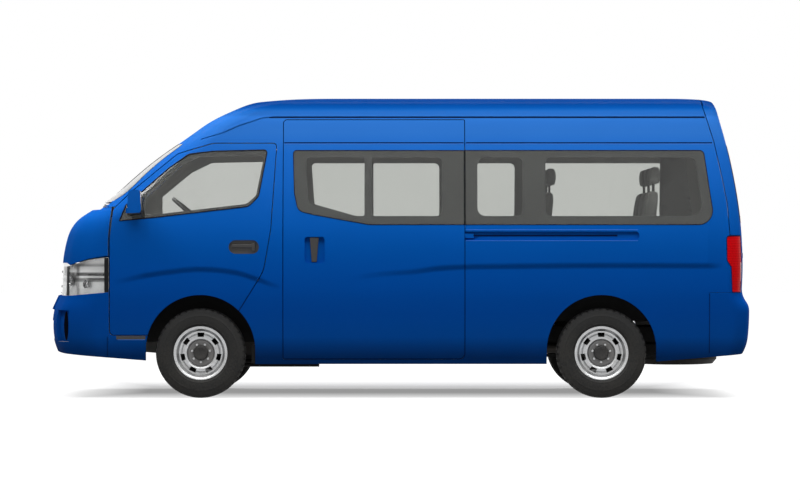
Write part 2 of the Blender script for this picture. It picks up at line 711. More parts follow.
grip_black = toned("grip_black", (0.016, 0.015, 0.015), 0.45, 50.0,
                   (0.014, 0.013, 0.013), (0.022, 0.020, 0.020))
grained(*inside(grip_black), 700.0, 0.15)
SIDES = (("left", -1), ("right", 1))
for label, side in SIDES:
    grip = rounded_block((-1.165, side * 0.9245, 1.116), (0.150, 0.010, 0.026), 0.0045)
    pivot = rounded_block((-1.082, side * 0.9205, 1.108), (0.030, 0.016, 0.062), 0.005)
    lock = rounded_block((-1.082, side * 0.9290, 1.108), (0.016, 0.004, 0.016), 0.0018)
    settle(joined_as_one([grip, pivot, lock]), "front_handle_" + label, "front_door_" + label,
           "black_plastic", grip_black)
lever = rounded_block((-0.636, -0.921, 1.088), (0.066, 0.013, 0.182), 0.0)
edit(lever)
choose_faces(lever, lambda c, n: n.z < -0.9)
bpy.ops.transform.resize(value=(0.58, 0.8, 1.0))
bpy.ops.mesh.select_all(action="SELECT")
bpy.ops.mesh.bevel(offset=0.004, segments=3)
close_edit()
bpy.ops.object.shade_smooth_by_angle(angle=math.radians(40))
settle(lever, "sliding_handle", "body", "black_plastic", grip_black)

# ---- front sill slot ----
# A black rubber tread plate in the step below the front door, stuck down and trimmed square,
# with the bright pressed edge of the sill under it.
for label, path, tall, finish, slot in (
        ("tread", ((-2.085, 0.4440), (-1.872, 0.4440)), 0.026, grip_black, "black_plastic"),
        ("lip", ((-2.075, 0.4285), (-1.872, 0.4285)), 0.005, edge_blue, "paint")):
    tread = lay_on(drawn_strip(path, tall), 0.0012, 0.001)
    mirror_over(tread)
    settle(tread, "sill_" + label, "body", slot, finish)

# ---- arch flaps ----
# A moulded rubber flap behind each front wheel, screwed to the end of the sill, that keeps
# road spray off it.
for label, side in SIDES:
    flap = rounded_block((-1.0745, side * 0.805, 0.322), (0.047, 0.110, 0.136), 0.004, 2)
    settle(flap, "arch_flap_" + label, "body", "chassis_black", underseal)

# ---- wheels ----
# Pressed steel rims in silver lacquer, each held by seven domed nuts round a dark cap, and
# radial tyres with four tread grooves, cut shoulders and moulded rings on the walls.
silver = weathered("silver_lacquer", (0.55, 0.56, 0.57), 0.3, ((0.56, 0.57, 0.58), 0.28, 0.35),
                   (500.0, 0.08), 0.75)
tyre_rubber = weathered("tyre_rubber", (0.012, 0.0125, 0.013), 0.75, ((0.012, 0.0125, 0.013), 0.7, 0.10),
                        (380.0, 0.4), specular=0.25)
cap_grey = weathered("dark_hub_cap", (0.020, 0.020, 0.021), 0.45, ((0.020, 0.020, 0.021), 0.45, 0.15),
                     (400.0, 0.1), specular=0.3)
dish_grey = weathered("dish_grey", (0.17, 0.17, 0.172), 0.4, ((0.17, 0.17, 0.172), 0.38, 0.3),
                      (300.0, 0.2), 0.5)
AXLE_Z, TYRE_Y = 0.33, 0.82
DISH_RADIUS, DISH_Y = 0.098, 0.83
SPARE_X, SPARE_Y, SPARE_RIM = 2.06, -0.036, 0.19

WHEELS = (
    ("front_left", "front_wheel_left", -1.47, -1), ("front_right", "front_wheel_right", -1.47, 1),
    ("rear_left", "rear_wheel_left", 1.47, -1), ("rear_right", "rear_wheel_right", 1.47, 1))
# Section of the tyre: radius, and distance from the middle of the tread, outer half only.
tyre_half = (
    (0.3300, 0.0045), (0.3300, 0.0200), (0.3235, 0.0220), (0.3235, 0.0270), (0.3298, 0.0290),
    (0.3290, 0.0500), (0.3225, 0.0520), (0.3225, 0.0565), (0.3280, 0.0585), (0.3262, 0.0730),
    (0.3195, 0.0855), (0.3090, 0.0915), (0.3060, 0.0915), (0.3050, 0.0925), (0.2960, 0.0945),
    (0.2780, 0.0965), (0.2765, 0.0973), (0.2700, 0.0973), (0.2690, 0.0966), (0.2500, 0.0970),
    (0.2330, 0.0965), (0.2200, 0.0940), (0.2185, 0.0950), (0.2150, 0.0940), (0.2140, 0.0925),
    (0.2060, 0.0860), (0.2010, 0.0740), (0.1975, 0.0700), (0.1853, 0.0640))
section = [(r, w) for r, w in reversed(tyre_half)] + [(r, -w) for r, w in tyre_half]


def spun(rows, turns, name):
    """Spins a closed section of radius and width about the wheel's axle, along Y."""
    bpy.ops.mesh.primitive_circle_add(vertices=len(rows), radius=0.05, location=(0, 0, 0))
    piece = bpy.context.object
    piece.name = name
    for vertex, (radius, width) in zip(piece.data.vertices, rows):
        vertex.co = (radius, width, 0)
    edit(piece)
    bpy.ops.mesh.select_all(action="SELECT")
    bpy.ops.mesh.spin(steps=turns, angle=2 * math.pi, center=(0, 0, 0), axis=(0, 1, 0))
    bpy.ops.mesh.select_all(action="SELECT")
    bpy.ops.mesh.remove_doubles(threshold=0.00005)
    bpy.ops.mesh.normals_make_consistent(inside=False)
    close_edit()
    return piece


TREAD_STEPS = 120
first_tyre = spun(section, TREAD_STEPS, "tyre_pattern")
edit(first_tyre)


def tread_place(centre):
    """How far a face of the tread lies from the axle, and its number round the tyre."""
    step_angle = 2 * math.pi / TREAD_STEPS
    return math.hypot(centre.x, centre.z), math.floor(math.atan2(centre.z, centre.x) / step_angle)


def shoulder_notch(centre, normal):
    radius, number = tread_place(centre)
    return radius > 0.312 and abs(centre.y) > 0.059 and number % 3 == 0


choose_faces(first_tyre, shoulder_notch)
bpy.ops.mesh.extrude_region_shrink_fatten(TRANSFORM_OT_shrink_fatten={"value": -0.006})


def rib_notch(centre, normal):
    radius, number = tread_place(centre)
    on_rib = 0.031 < abs(centre.y) < 0.050 and number % 4 == 1
    on_middle = abs(centre.y) < 0.0195 and number % 4 == 3
    return radius > 0.326 and (on_rib or on_middle)


choose_faces(first_tyre, rib_notch)
bpy.ops.mesh.extrude_region_shrink_fatten(TRANSFORM_OT_shrink_fatten={"value": -0.004})
close_edit()
bpy.ops.object.shade_smooth_by_angle(angle=math.radians(32))

# One wheel nut is a domed hexagon, and seven of them stand round the cap.
NUTS, NUT_RING, NUT_Y = 7, 0.0665, 0.844
bpy.ops.mesh.primitive_cylinder_add(vertices=6, radius=0.0105, depth=0.012, location=(0, 0, 0),
                                    rotation=(math.pi / 2, 0, 0))
first_nut = bpy.context.object
edit(first_nut)
choose_faces(first_nut, lambda c, n: n.z > 0.9)
bpy.ops.mesh.inset(thickness=0.002, depth=0.003)
close_edit()
add_modifier(first_nut, "BEVEL", width=0.001, segments=2)
# Section of the cap, also as radius and distance from the middle of the tread.
cap_section = ((0.0, 0.0530), (0.030, 0.0528), (0.034, 0.0550), (0.046, 0.0540), (0.0538, 0.046),
               (0.0550, 0.030), (0.0550, 0.0195), (0.0, 0.0195))

for name, body, x, side in WHEELS:
    face_into("rim_" + name, (silver, dish_grey),
              lambda c, n: 1 if math.hypot(c.x - x, c.z - AXLE_Z) < DISH_RADIUS and abs(c.y) > DISH_Y else 0)
    tyre = copied(first_tyre)
    tyre.location = (x, side * TYRE_Y, AXLE_Z)
    settle(tyre, "tread_tyre_" + name, body, "tyre", tyre_rubber)
    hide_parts("tyre_" + name)
    nuts = []
    for index in range(NUTS):
        turn = 2 * math.pi * (index + 0.5) / NUTS
        nut = copied(first_nut)
        nut.rotation_euler = (-side * math.pi / 2, 0, 0)
        nut.location = (x + NUT_RING * math.sin(turn), side * NUT_Y, AXLE_Z + NUT_RING * math.cos(turn))
        nuts.append(nut)
    fix_place(nuts)
    settle(joined_as_one(nuts), "wheel_nuts_" + name, body, "iron", silver)
    cap = spun(cap_section, 48, "cap")
    if side < 0:
        cap.rotation_euler = (0, 0, math.pi)
    cap.location = (x, side * 0.8205, AXLE_Z)
    bpy.ops.object.shade_smooth_by_angle(angle=math.radians(35))
    settle(cap, "hub_cap_" + name, body, "black_plastic", cap_grey)
for pattern in (first_tyre, first_nut):
    bpy.data.objects.remove(pattern)
face_into("spare_wheel", (tyre_rubber, silver),
          lambda c, n: 1 if math.hypot(c.x - SPARE_X, c.y - SPARE_Y) < SPARE_RIM else 0)

# ---- headlamps ----
# Clear polycarbonate covers glued over chromed housings, with three round bowls in each, a
# stepped reflector, and a black edge at the front and at the rear end of the cover.
chrome = toned("bright_chrome", (0.82, 0.82, 0.82), 0.08, 9.0, (0.78, 0.78, 0.78), (0.86, 0.86, 0.86), 1.0)
chrome_tree, chrome_shader = inside(chrome)
chrome_haze = noise_at(chrome_tree, object_coords(chrome_tree), 30.0)
chrome_tree.links.new(spread(chrome_tree, chrome_haze, 0.0, 1.0, 0.05, 0.16),
                      chrome_shader.inputs["Roughness"])
clear = toned("clear_lamp_cover", (0.95, 0.96, 0.96), 0.0, 6.0, (0.94, 0.95, 0.95), (0.97, 0.97, 0.97))
_, clear_shader = inside(clear)
clear_shader.inputs["Transmission Weight"].default_value = 1.0
clear_shader.inputs["IOR"].default_value = 1.12

lamp_silver, bowl_shader, bowl_tree = new_material("lamp_silver", (0.50, 0.505, 0.51), 0.30, 0.55)
# The steps of the reflector behind the cover: height and grey.
LAMP_STEPS = ((0.76, 0.55), (0.845, 0.62), (0.858, 0.16), (0.874, 0.14), (0.884, 0.60), (0.892, 0.62),
              (0.899, 0.07), (0.916, 0.07), (0.926, 0.62), (0.955, 0.50), (0.972, 0.20), (1.000, 0.55))
bowl_steps = banded(bowl_tree, axes_of(bowl_tree)["Z"], 0.74, 1.04,
                    [(height, (grey, grey, grey)) for height, grey in LAMP_STEPS], "EASE")
bowl_tone = spread(bowl_tree, noise_at(bowl_tree, object_coords(bowl_tree), 9.0), 0.3, 0.7)
bowl_tree.links.new(
    colour_mix(bowl_tree, math_node(bowl_tree, "MULTIPLY", bowl_tone, 0.35), bowl_steps, (0.30, 0.30, 0.30)),
    bowl_shader.inputs["Base Color"])
cover = copy_of("headlamps", outer_face)
close_edit()
add_modifier(cover, "SOLIDIFY", thickness=0.0025, offset=-1.0)
bpy.ops.object.shade_smooth_by_angle(angle=math.radians(30))
settle(cover, "headlamp_covers", "body", "lamp_clear", clear)
housing = copy_of("headlamps", lambda c, n: not outer_face(c, n))
bpy.ops.mesh.select_all(action="SELECT")
bpy.ops.mesh.flip_normals()
close_edit()
add_modifier(housing, "SOLIDIFY", thickness=0.0015, offset=-1.0)
settle(housing, "headlamp_housings", "body", "chrome", lamp_silver)
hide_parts("headlamps")


def cut_off(axis, place, above):
    """Cuts the open piece square to an axis, and drops what lies above the place, or else below it."""
    normal = Vector([float(axis == letter) for letter in "XYZ"])
    bpy.ops.mesh.select_all(action="SELECT")
    bpy.ops.mesh.bisect(plane_co=normal * place, plane_no=normal, clear_outer=above, clear_inner=not above)


edges = []
for front_x, rear_x in ((-2.172, -2.0), (-2.468, -2.445)):
    edge = copy_of("headlamps", outer_face)
    cut_off("X", front_x, False)
    cut_off("X", rear_x, True)
    close_edit()
    add_modifier(edge, "SOLIDIFY", thickness=0.0035, offset=0.6)
    edges.append(edge)
settle(joined_as_one(edges), "headlamp_edges", "body", "black_plastic", seal_rubber)


def lamp_bowl(place, aim, radius):
    """A chromed bowl, sunk in four steps, with a small bulb shield."""
    bpy.ops.mesh.primitive_circle_add(vertices=32, radius=radius, fill_type="NGON", location=(0, 0, 0))
    bowl = bpy.context.object
    edit(bowl)
    bpy.ops.mesh.select_all(action="SELECT")
    for shrink, sink in ((0.94, -0.004), (0.80, -0.012), (0.62, -0.008), (0.45, -0.003)):
        bpy.ops.mesh.inset(thickness=radius * (1 - shrink) * 0.45, depth=sink)
    close_edit()
    add_modifier(bowl, "SOLIDIFY", thickness=0.0012, offset=-1.0)
    bpy.ops.mesh.primitive_uv_sphere_add(segments=20, ring_count=12, radius=radius * 0.26,
                                         location=(0, 0, -0.012))
    bulb = bpy.context.object
    bulb.scale = (1, 1, 0.8)
    whole = joined_as_one([bowl, bulb])
    whole.rotation_euler = Vector(aim).to_track_quat("Z", "Y").to_euler()
    whole.location = place
    bpy.ops.object.shade_smooth_by_angle(angle=math.radians(30))
    return whole


bowl_chrome = toned("bowl_chrome", (0.34, 0.34, 0.345), 0.18, 26.0,
                    (0.22, 0.22, 0.225), (0.50, 0.50, 0.505), 0.9)
bowls = []
cover_tree = tree_of("headlamps")
for y, z, radius in ((-0.565, 0.862, 0.050), (-0.690, 0.862, 0.042), (-0.835, 0.836, 0.030)):
    for side in (1, -1):
        start = Vector((-3.0, side * y, z)) if abs(y) < 0.8 else Vector((-2.6, side * (y - 0.4), z))
        way = Vector((1, 0, 0)) if abs(y) < 0.8 else Vector((0.5, side * 0.62, 0)).normalized()
        hit, normal, _, _ = cover_tree.ray_cast(start, way)
        aim = normal.lerp(Vector((-1, 0, 0)), 0.25).normalized()
        bowls.append(lamp_bowl(hit - normal * 0.020, aim, radius))
fix_place(bowls)
settle(joined_as_one(bowls), "headlamp_bowls", "body", "chrome", bowl_chrome)

# Two black ledges that stand across the reflector behind the cover.
ledges = []
for low, high in ((0.871, 0.880), (0.899, 0.912)):
    ledge = copy_of("headlamps", outer_face)
    cut_off("Z", low, False)
    cut_off("Z", high, True)
    cut_off("X", -2.30, False)
    bpy.ops.mesh.select_all(action="SELECT")
    bpy.ops.transform.shrink_fatten(value=-0.008)
    close_edit()
    add_modifier(ledge, "SOLIDIFY", thickness=0.020, offset=-1.0)
    ledges.append(ledge)
settle(joined_as_one(ledges), "headlamp_shields", "body", "black_plastic", moulding)

# ---- grille and lower intake ----
# A moulded grille with a chromed rim and centre bar round black slats, clipped into the lid,
# and a black wire mesh behind the intake of the bumper.
GRILLE_RIM, GRILLE_BAR = 0.0135, 0.0072


def grille_face(centre, normal):
    """Chrome 1 on the rim and the centre bar, black 0 on the slats."""
    low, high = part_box("grille")
    rim = min(centre.z - low.z, high.z - centre.z, high.y - abs(centre.y)) < GRILLE_RIM
    return 1 if rim or abs(centre.z - (low.z + high.z) / 2) < GRILLE_BAR else 0


face_into("grille", (moulding, chrome), grille_face)
bpy.ops.mesh.primitive_grid_add(x_subdivisions=8, y_subdivisions=44, size=1, location=(-2.575, 0, 0.49),
                                rotation=(0, math.pi / 2, 0))
mesh_panel = bpy.context.object
mesh_panel.scale = (0.135, 0.855, 1)
fix_place([mesh_panel])
add_modifier(mesh_panel, "WIREFRAME", thickness=0.006, use_replace=True)
settle(mesh_panel, "intake_mesh", "body", "black_plastic", moulding)

# ---- mirrors ----
# Painted heads on black moulded arms that are bolted to the front doors, with a silvered glass
# let into the back of each head.
mirror_glass = toned("mirror_glass", (0.75, 0.77, 0.78), 0.02, 12.0,
                     (0.72, 0.74, 0.75), (0.78, 0.80, 0.81), 1.0)
for label, side in SIDES:
    face_into("mirror_" + label, (paint, moulding),
              lambda c, n: 1 if n.x > 0.5 or abs(c.y) < 0.95 or c.z < 1.356 else 0)
    glass = rounded_block((-1.8935, side * 1.035, 1.441), (0.003, 0.126, 0.136), 0.001, 1)
    settle(glass, "mirror_glass_" + label, "front_door_" + label, "chrome", mirror_glass)

# ---- wipers ----
# Black pressed arms with rubber blades: two parked low on the windscreen over a louvre along
# the cowl, and one on the tail glass.
cowl_tree = tree_of("cowl")
tail_tree = tree_of("tailgate_glass")


def on_pane(tree, y, z, way, lift):
    """The point of a pane at a side and height, lifted off its face."""
    start = Vector((-way * 4.0, y, z))
    hit, normal, _, _ = tree.ray_cast(start, Vector((way, 0, 0)))
    return hit + normal * lift


def rod_through(points, radius, name):
    """A round rod along points: an edge extruded from one to the next, then skinned as a curve."""
    bpy.ops.mesh.primitive_plane_add(size=0.01, location=points[0])
    rod = bpy.context.object
    edit(rod)
    bpy.ops.mesh.select_mode(type="VERT")
    bpy.ops.mesh.select_all(action="SELECT")
    bpy.ops.mesh.merge(type="CENTER")
    for before, after in zip(points, points[1:]):
        bpy.ops.mesh.extrude_region_move(TRANSFORM_OT_translate={"value": tuple(after - before)})
    close_edit()
    bpy.ops.object.convert(target="CURVE")
    rod = bpy.context.object
    rod.data.bevel_depth = radius
    rod.data.bevel_resolution = 2
    rod.data.use_fill_caps = True
    bpy.ops.object.convert(target="MESH")
    rod = bpy.context.object
    rod.name = name
    bpy.ops.object.shade_smooth()
    return rod


louvre = rod_through([on_pane(cowl_tree, 0.09 * step, 1.404, 1, 0.004) for step in range(-7, 8)], 0.012,
                     "louvre")
settle(louvre, "cowl_louvre", "body", "black_plastic", moulding)
for label, tree, way, body, blade_from, blade_to, pivot in (
        ("left", cowl_tree, 1, "body", (-0.60, 1.408), (-0.06, 1.412), (-0.50, 1.404)),
        ("right", cowl_tree, 1, "body", (0.04, 1.412), (0.58, 1.408), (0.14, 1.404)),
        ("tail", tail_tree, -1, "tailgate", (-0.30, 1.335), (0.22, 1.345), (0.02, 1.305))):
    blade_points = []
    for index in range(7):
        share = index / 6
        y = blade_from[0] + (blade_to[0] - blade_from[0]) * share
        z = blade_from[1] + (blade_to[1] - blade_from[1]) * share
        blade_points.append(on_pane(tree, y, z, way, 0.012 if way > 0 else 0.005))
    blade = rod_through(blade_points, 0.0045, "blade")
    middle = blade_points[3]
    foot = on_pane(tree, pivot[0], pivot[1], way, 0.012)
    lift = Vector((-way * 0.004, 0, 0.006))
    arm = rod_through([foot, foot.lerp(middle, 0.45) + lift, middle + lift * 0.5], 0.006, "arm")
    settle(joined_as_one([blade, arm]), "wiper_" + label, body, "black_plastic", moulding)

# ---- tail lamps ----
# Red moulded lenses with fine flutes inside, a dark bead of sealer round each, and a clear
# strip low down for the reversing lamp.
red, red_shader, red_tree = new_material("red_lamp_lens", (0.60, 0.004, 0.008), 0.3, specular=0.06)
flutes = math_node(red_tree, "SINE", math_node(red_tree, "MULTIPLY", axes_of(red_tree)["Z"], 520.0), 0.0)
red_mix = colour_mix(red_tree, spread(red_tree, flutes, -1, 1), (0.58, 0.001, 0.004), (0.78, 0.003, 0.007))
red_tree.links.new(red_mix, red_shader.inputs["Base Color"])
bumped(red_tree, red_shader, flutes, 0.0004)
white_lens = toned("white_lamp_lens", (0.8, 0.8, 0.78), 0.1, 70.0, (0.72, 0.72, 0.70), (0.86, 0.86, 0.84))
face_into("tail_lamps", (red, moulding), lambda c, n: 0 if n.dot(outward(c)) > 0.2 else 1)
seal_round("tail_lamps", "body", 0.0035, joint_blue)
strip = copy_of("tail_lamps", outer_face)
cut_off("Z", 0.83, False)
cut_off("Z", 0.995, True)
cut_off("X", 2.492, False)
close_edit()
add_modifier(strip, "SOLIDIFY", thickness=0.0025, offset=0.8)
settle(strip, "reversing_strips", "body", "lamp_clear", white_lens)

# ---- number plates ----
# Blank pressed aluminium plates in white enamel, screwed on: in front to a body-coloured
# plinth, at the rear to a black frame.
def flat_on(tree, way, height, reach):
    """Where a fitting goes on the middle of a panel, and its turn to lie flat there."""
    middle, low, high = (tree.ray_cast(Vector((way * 4, 0, height + rise)), Vector((-way, 0, 0)))[0]
                         for rise in (0.0, -reach, reach))
    return middle, (0, math.atan2(high.x - low.x, high.z - low.z), 0)


plate_white, plate_shader, plate_tree = new_material("plate_enamel", (0.72, 0.72, 0.70), 0.35)
filmed(plate_tree, plate_shader, (0.72, 0.72, 0.70), 0.32, 0.5)
for name, body, node, way, height, plinth in (
        ("front_plate", "body", "front_bumper", -1, 0.695, ("paint", paint)),
        ("tail_plate", "tailgate", "tailgate", 1, 0.930, ("black_plastic", moulding))):
    middle, turn = flat_on(tree_of(node), way, height, 0.03)
    backing = rounded_block((way * -0.006, 0, 0), (0.016, 0.466, 0.114), 0.002, 2)
    enamel = rounded_block((way * 0.0020, 0, 0), (0.003, 0.455, 0.105), 0.0012, 2)
    for piece, label, slot, finish in ((backing, name + "_frame", *plinth),
                                       (enamel, name, "paint", plate_white)):
        piece.rotation_euler = turn
        piece.location = middle
        settle(piece, label, body, slot, finish)

# ---- tail fittings ----
# A black moulded pull handle, bolted through the skin over the rear plate, and a red stop lamp
# set high on the tailgate.
tailgate_tree = tree_of("tailgate")
for name, sizes, height, slot, finish in (
        ("tail_handle", (0.022, 0.360, 0.042), 1.045, "black_plastic", moulding),
        ("high_stop_lamp", (0.018, 0.300, 0.024), 1.925, "lamp_red", red)):
    middle, turn = flat_on(tailgate_tree, 1, height, 0.02)
    fitting = rounded_block((0, 0, 0), sizes, 0.005, 2)
    fitting.rotation_euler = turn
    fitting.location = middle
    settle(fitting, name, "tailgate", slot, finish)

# ---- cabin ----
# Grained grey dashboard with a dark hood, centre panel and radio, a dark moulded steering
# wheel, a mirror on a stem under the roof, and a panel that closes the corner of the load space.
face_into("dashboard", (trim,))
face_into("steering_wheel", (moulding,))
dash_tree = tree_of("dashboard")
HOOD_X, HOOD_Y, STACK_Z = -1.98, 0.40, 1.14
dash_top = dash_tree.ray_cast(Vector((HOOD_X, HOOD_Y, 2.0)), Vector((0, 0, -1)))[0]
hood = rounded_block((HOOD_X, HOOD_Y, dash_top.z + 0.014), (0.15, 0.34, 0.032), 0.012)
dash_face = dash_tree.ray_cast(Vector((-1.0, 0.0, STACK_Z)), Vector((-1, 0, 0)))[0]
stack = rounded_block((dash_face.x + 0.004, 0, STACK_Z), (0.012, 0.22, 0.24), 0.005)
settle(joined_as_one([hood, stack]), "instrument_hood", "body", "black_plastic", moulding)
dial_face = rounded_block((dash_face.x + 0.011, 0, 1.205), (0.004, 0.19, 0.075), 0.0015, 1)
settle(dial_face, "radio_panel", "body", "black_plastic", handle_grey)
stem = rod_through([Vector((-1.585, 0, 1.872)), Vector((-1.600, 0, 1.835)), Vector((-1.588, 0, 1.812))],
                   0.006, "stem")
head = rounded_block((-1.588, 0, 1.790), (0.022, 0.230, 0.062), 0.009)
settle(joined_as_one([head, stem]), "cabin_mirror", "body", "black_plastic", moulding)
panel_grey = lined("load_panel_grey", (0.235, 0.235, 0.23), 0.85, (500.0, 0.2),
                   (0.21, 0.21, 0.205), (0.26, 0.26, 0.255))
panel = copy_of("side_windows", lambda c, n: c.y > 0.5 and c.x > 0.9 and outer_face(c, n))
cut_off("X", 2.026, False)
bpy.ops.mesh.select_all(action="SELECT")
bpy.ops.transform.translate(value=(0, -0.060, 0))
close_edit()
add_modifier(panel, "SOLIDIFY", thickness=0.006, offset=-1.0)
settle(panel, "load_space_panel", "body", "black_plastic", panel_grey)

# ---- seats ----
# Foam cushions in woven cloth, sewn in channels and piped at the edges, on pressed steel
# frames. The foam is blown against its cover by cloth simulation, once for each kind of pad.
cloth_weave, weave_in, weave_out = new_group(
    "cloth_weave",
    (("Threads", "NodeSocketFloat", 1900.0), ("Dark", "NodeSocketColor", (0, 0, 0, 1)),
     ("Light", "NodeSocketColor", (1, 1, 1, 1))),
    (("Color", "NodeSocketColor"), ("Weave", "NodeSocketFloat")))
weave_coords = object_coords(cloth_weave)
weave_xyz = axes_of(cloth_weave, weave_coords)
across, along = (
    math_node(cloth_weave, "SINE", math_node(cloth_weave, "MULTIPLY", run, weave_in.outputs["Threads"]), 0.0)
    for run in (weave_xyz["Y"], math_node(cloth_weave, "ADD", weave_xyz["X"], weave_xyz["Z"])))
weave = math_node(cloth_weave, "MULTIPLY", across, along)
fleck = math_node(cloth_weave, "ADD", math_node(cloth_weave, "MULTIPLY", weave, 0.3),
                  noise_at(cloth_weave, weave_coords, 240.0, 2.0))
cloth_weave.links.new(colour_mix(cloth_weave, spread(cloth_weave, fleck, 0.1, 0.9), weave_in.outputs["Dark"],
                                 weave_in.outputs["Light"]), weave_out.inputs["Color"])
cloth_weave.links.new(weave, weave_out.inputs["Weave"])


def cloth_material(name, dark, light):
    """Plain weave: crossed threads that show as a bump and a slight change of tone."""
    material, shader, tree = new_material(name, dark, 0.9, specular=0.2)
    cloth = placed(tree, cloth_weave, Threads=1900.0, Dark=dark, Light=light)
    tree.links.new(cloth["Color"], shader.inputs["Base Color"])
    bumped(tree, shader, cloth["Weave"], 0.0006)
    shader.inputs["Sheen Weight"].default_value = 0.3
    return material


side_cloth = cloth_material("side_cloth", (0.150, 0.150, 0.145), (0.210, 0.210, 0.200))
middle_cloth = cloth_material("middle_cloth", (0.230, 0.230, 0.220), (0.310, 0.310, 0.300))


BLOW_FRAMES = 20


def blown(piece, held, cap):
    """Fills a pad with air inside its cover, held where it rests, and moved no further than cap."""
    add_modifier(piece, "REMESH", mode="VOXEL", voxel_size=0.008)
    start = [vertex.co.copy() for vertex in piece.data.vertices]
    group = piece.vertex_groups.new(name="held")
    group.add([vertex.index for vertex in piece.data.vertices if held(vertex.co)], 1.0, "REPLACE")
    cloth = piece.modifiers.new("cloth", "CLOTH")
    cloth.settings.vertex_group_mass = "held"
    cloth.settings.use_pressure = True
    cloth.settings.uniform_pressure_force = 4.0
    cloth.settings.effector_weights.gravity = 0
    cloth.point_cache.frame_end = BLOW_FRAMES
    for number in range(1, BLOW_FRAMES + 1):
        bpy.context.scene.frame_set(number)
    bpy.ops.object.modifier_apply(modifier=cloth.name)
    bpy.context.scene.frame_set(1)
    for vertex, home in zip(piece.data.vertices, start):
        moved = vertex.co - home
        if moved.length > cap:
            vertex.co = home + moved.normalized() * cap
    piece.vertex_groups.clear()
    piece.data.update()
    bpy.ops.object.shade_smooth()
    return piece


SEAM_DEPTH, SEAM_WIDTH = 0.006, 0.009


def sewn(piece, faces_out, seams):
    """Draws the seams into one side of a pad; each seam gives its distance from a point."""
    moves = [(vertex, vertex.normal.copy(), min(seam(vertex.co) for seam in seams))
             for vertex in piece.data.vertices if faces_out(vertex.normal)]
    for vertex, normal, away in moves:
        vertex.co -= normal * SEAM_DEPTH * math.exp(-(away / SEAM_WIDTH) ** 2)
    piece.data.update()


def two_tone(piece, in_middle):
    piece.data.materials.clear()
    for finish in (side_cloth, middle_cloth):
        piece.data.materials.append(finish)
    for face in piece.data.polygons:
        face.material_index = 1 if in_middle(face.center, face.normal) else 0


def piped(piece, centre, across, up, name):
    """A cord of cloth sewn round the edge of a pad, in the plane of two half widths."""
    tree = BVHTree.FromPolygons([v.co for v in piece.data.vertices],
                                [tuple(f.vertices) for f in piece.data.polygons])
    points = []
    for index in range(45):
        turn = 2 * math.pi * index / 44
        reach = 1.3 / max(abs(math.cos(turn)), abs(math.sin(turn)))
        start = centre + (across * math.cos(turn) + up * math.sin(turn)) * reach
        hit, normal, _, _ = tree.ray_cast(start, (centre - start).normalized())
        points.append(hit + (start - centre).normalized() * 0.0008)
    return rod_through(points, 0.0030, name)


def band(axis, place, span_axis=None, span=0.0):
    """Distance from a straight seam at a place on one axis, within a span of another."""
    def distance(point):
        away = abs(abs(point[axis]) - place) if span_axis is None else abs(point[axis] - place)
        beyond = 0.0 if span_axis is None else max(0.0, abs(point[span_axis]) - span)
        return math.hypot(away, beyond)
    return distance


# Each pad is drawn from the rear edge of the cushion: its middle lies CUSHION_X from there, its
# piping PIPE_Y from the middle line, and its plain cloth begins at BAND_Y.
CUSHION_X, PIPE_Y, BAND_Y = -0.230, 0.22, 0.135
cushion = rounded_block((CUSHION_X, 0, 0.060), (0.432, 0.436, 0.092), 0.0)
edit(cushion)
choose_faces(cushion, lambda c, n: n.x < -0.9)
bpy.ops.transform.resize(value=(1, 1, 1.15), center_override=(0, 0, 0.014))
close_edit()
add_modifier(cushion, "BEVEL", width=0.024, segments=3, limit_method="NONE")
blown(cushion, lambda p: p.z < 0.019, 0.012)
sewn(cushion, lambda n: n.z > 0.4,
     [band(1, BAND_Y)] + [band(0, x, 1, BAND_Y) for x in (-0.36, -0.28, -0.20, -0.12)])
two_tone(cushion, lambda c, n: n.z > 0.4 and abs(c.y) < BAND_Y)
cushion_cord = piped(cushion, Vector((CUSHION_X, 0, 0.092)), Vector((0, PIPE_Y, 0)), Vector((0.22, 0, 0)),
                     "cushion_cord")

backrest = rounded_block((-0.005, 0, 0.363), (0.088, 0.436, 0.610), 0.0)
edit(backrest)
choose_faces(backrest, lambda c, n: n.z > 0.9)
bpy.ops.transform.translate(value=(0.0755, 0, 0))
bpy.ops.transform.resize(value=(0.72, 0.93, 1))
close_edit()
add_modifier(backrest, "BEVEL", width=0.022, segments=3, limit_method="NONE")
blown(backrest, lambda p: p.z < 0.070, 0.012)
sewn(backrest, lambda n: n.x < -0.4,
     [band(1, BAND_Y)] + [band(2, z, 1, BAND_Y) for z in (0.20, 0.30, 0.40, 0.50, 0.60)])
two_tone(backrest, lambda c, n: n.x < -0.4 and abs(c.y) < BAND_Y)
backrest_cord = piped(backrest, Vector((0.020, 0, 0.363)), Vector((0, PIPE_Y, 0)), Vector((0.036, 0, 0.305)),
                      "backrest_cord")

headrest = rounded_block((0.086, 0, 0.776), (0.066, 0.246, 0.126), 0.020)
blown(headrest, lambda p: p.z < 0.722, 0.010)
sewn(headrest, lambda n: n.x < -0.4, [band(1, 0.085)])
two_tone(headrest, lambda c, n: n.x < -0.4 and abs(c.y) < 0.085)

